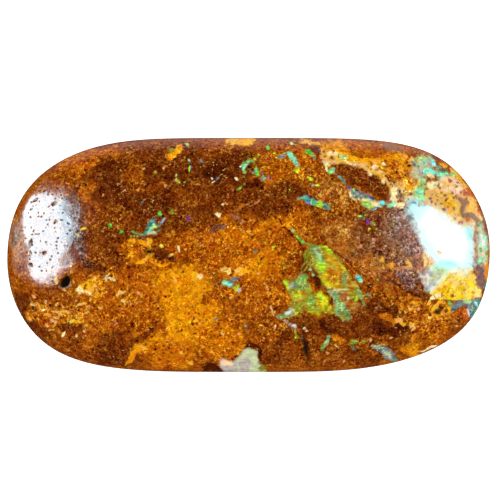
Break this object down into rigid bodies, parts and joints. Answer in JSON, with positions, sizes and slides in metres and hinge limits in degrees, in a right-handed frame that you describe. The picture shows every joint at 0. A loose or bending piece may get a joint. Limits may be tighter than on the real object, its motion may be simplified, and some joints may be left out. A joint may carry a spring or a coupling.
{
  "type": "boulder opal cabochon",
  "caption": "Long oval polished boulder opal stone with a low dome, a rounded rim and a flat back to set it on.",
  "frame": {"origin": "middle of the flat back, at the centre of the stone's outline", "axes": "+X along the stone's length, +Y across it, +Z out of the domed polished face"},
  "size_m": [0.0338, 0.0164, 0.0056],
  "materials": {
    "polished_boulder_opal": "polished brown ironstone with veins and patches of green, blue and pale opal"
  },
  "bodies": {
    "root": {"boulder_opal": "polished_boulder_opal"}
  },
  "joints": []
}
